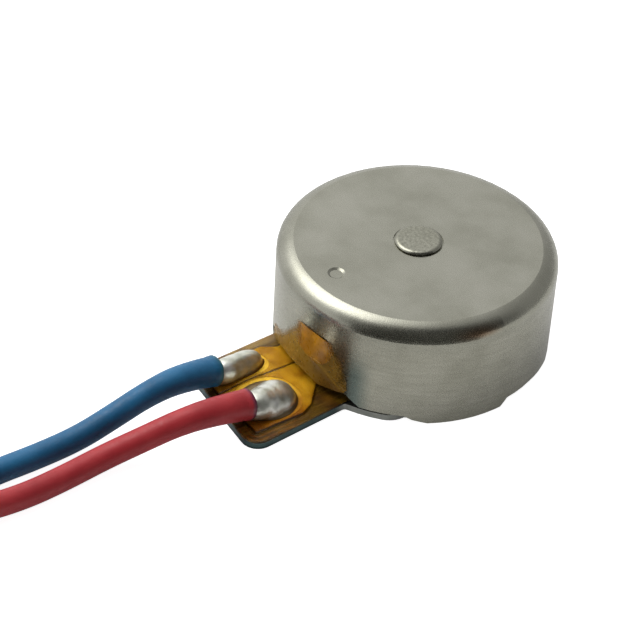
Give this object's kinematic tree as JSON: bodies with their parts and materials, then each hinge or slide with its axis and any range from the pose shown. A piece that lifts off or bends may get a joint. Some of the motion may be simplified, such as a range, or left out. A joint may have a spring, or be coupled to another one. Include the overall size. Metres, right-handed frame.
{
  "type": "vibration coin motor",
  "caption": "Flat round vibration motor in a drawn steel can, with a flexible-circuit solder tab and red and blue wire leads with bare ends.",
  "frame": {"origin": "on the rotor axis, at the underside of the base plate", "axes": "+Z along the rotor axis from the base plate to the can's boss; the solder tab points along -Y; +X is to the right of the tab, on the red lead's side"},
  "size_m": [0.0133, 0.0271, 0.0034],
  "materials": {
    "can_steel": "satin drawn stainless sheet",
    "plate_steel": "satin rolled sheet",
    "shaft_steel": "ground",
    "flex_film": "brown polyimide film",
    "flex_cover": "amber polyimide film",
    "copper_foil": "gold-flashed copper foil",
    "tape_film": "clear amber tape",
    "magnet": "nickel-plated sintered magnet",
    "adhesive": "cured glue film",
    "brush_alloy": "bright spring alloy",
    "washer_film": "low-friction plastic",
    "solder": "bright reflowed solder",
    "tinned_copper": "tinned strands",
    "lead_red": "red extruded insulation",
    "lead_blue": "blue extruded insulation",
    "board": "green glass-epoxy board",
    "commutator_gold": "gold-plated segments",
    "winding": "enamelled copper wire",
    "tungsten": "sintered heavy alloy",
    "resin": "black moulding resin",
    "bearing_bronze": "oil-filled sintered bronze"
  },
  "bodies": {
    "case": {"can_cover": "can_steel", "base_plate": "plate_steel", "shaft": "shaft_steel", "lower_washer": "washer_film", "upper_washer": "washer_film", "flex_base_film": "flex_film", "trace_red": "copper_foil", "trace_blue": "copper_foil", "flex_coverlay": "flex_cover", "magnet_adhesive": "adhesive", "ring_magnet": "magnet", "brush_positive": "brush_alloy", "brush_negative": "brush_alloy", "insulating_tape": "tape_film", "solder_joint_red": "solder", "solder_joint_blue": "solder", "core_red": "tinned_copper", "core_blue": "tinned_copper", "lead_red": "lead_red", "lead_coil_red": "lead_red", "lead_tip_red": "tinned_copper", "lead_blue": "lead_blue", "lead_coil_blue": "lead_blue", "lead_tip_blue": "tinned_copper"},
    "rotor": {"rotor_board": "board", "commutator": "commutator_gold", "coil_right": "winding", "coil_left": "winding", "counterweight": "tungsten", "rotor_moulding": "resin", "rotor_bearing": "bearing_bronze"}
  },
  "joints": [
    {"name": "rotor_spin", "type": "hinge", "parent": "case", "child": "rotor", "pos_m": [0, 0, 0.0021], "axis": [0, 0, 1], "continuous": true}
  ]
}
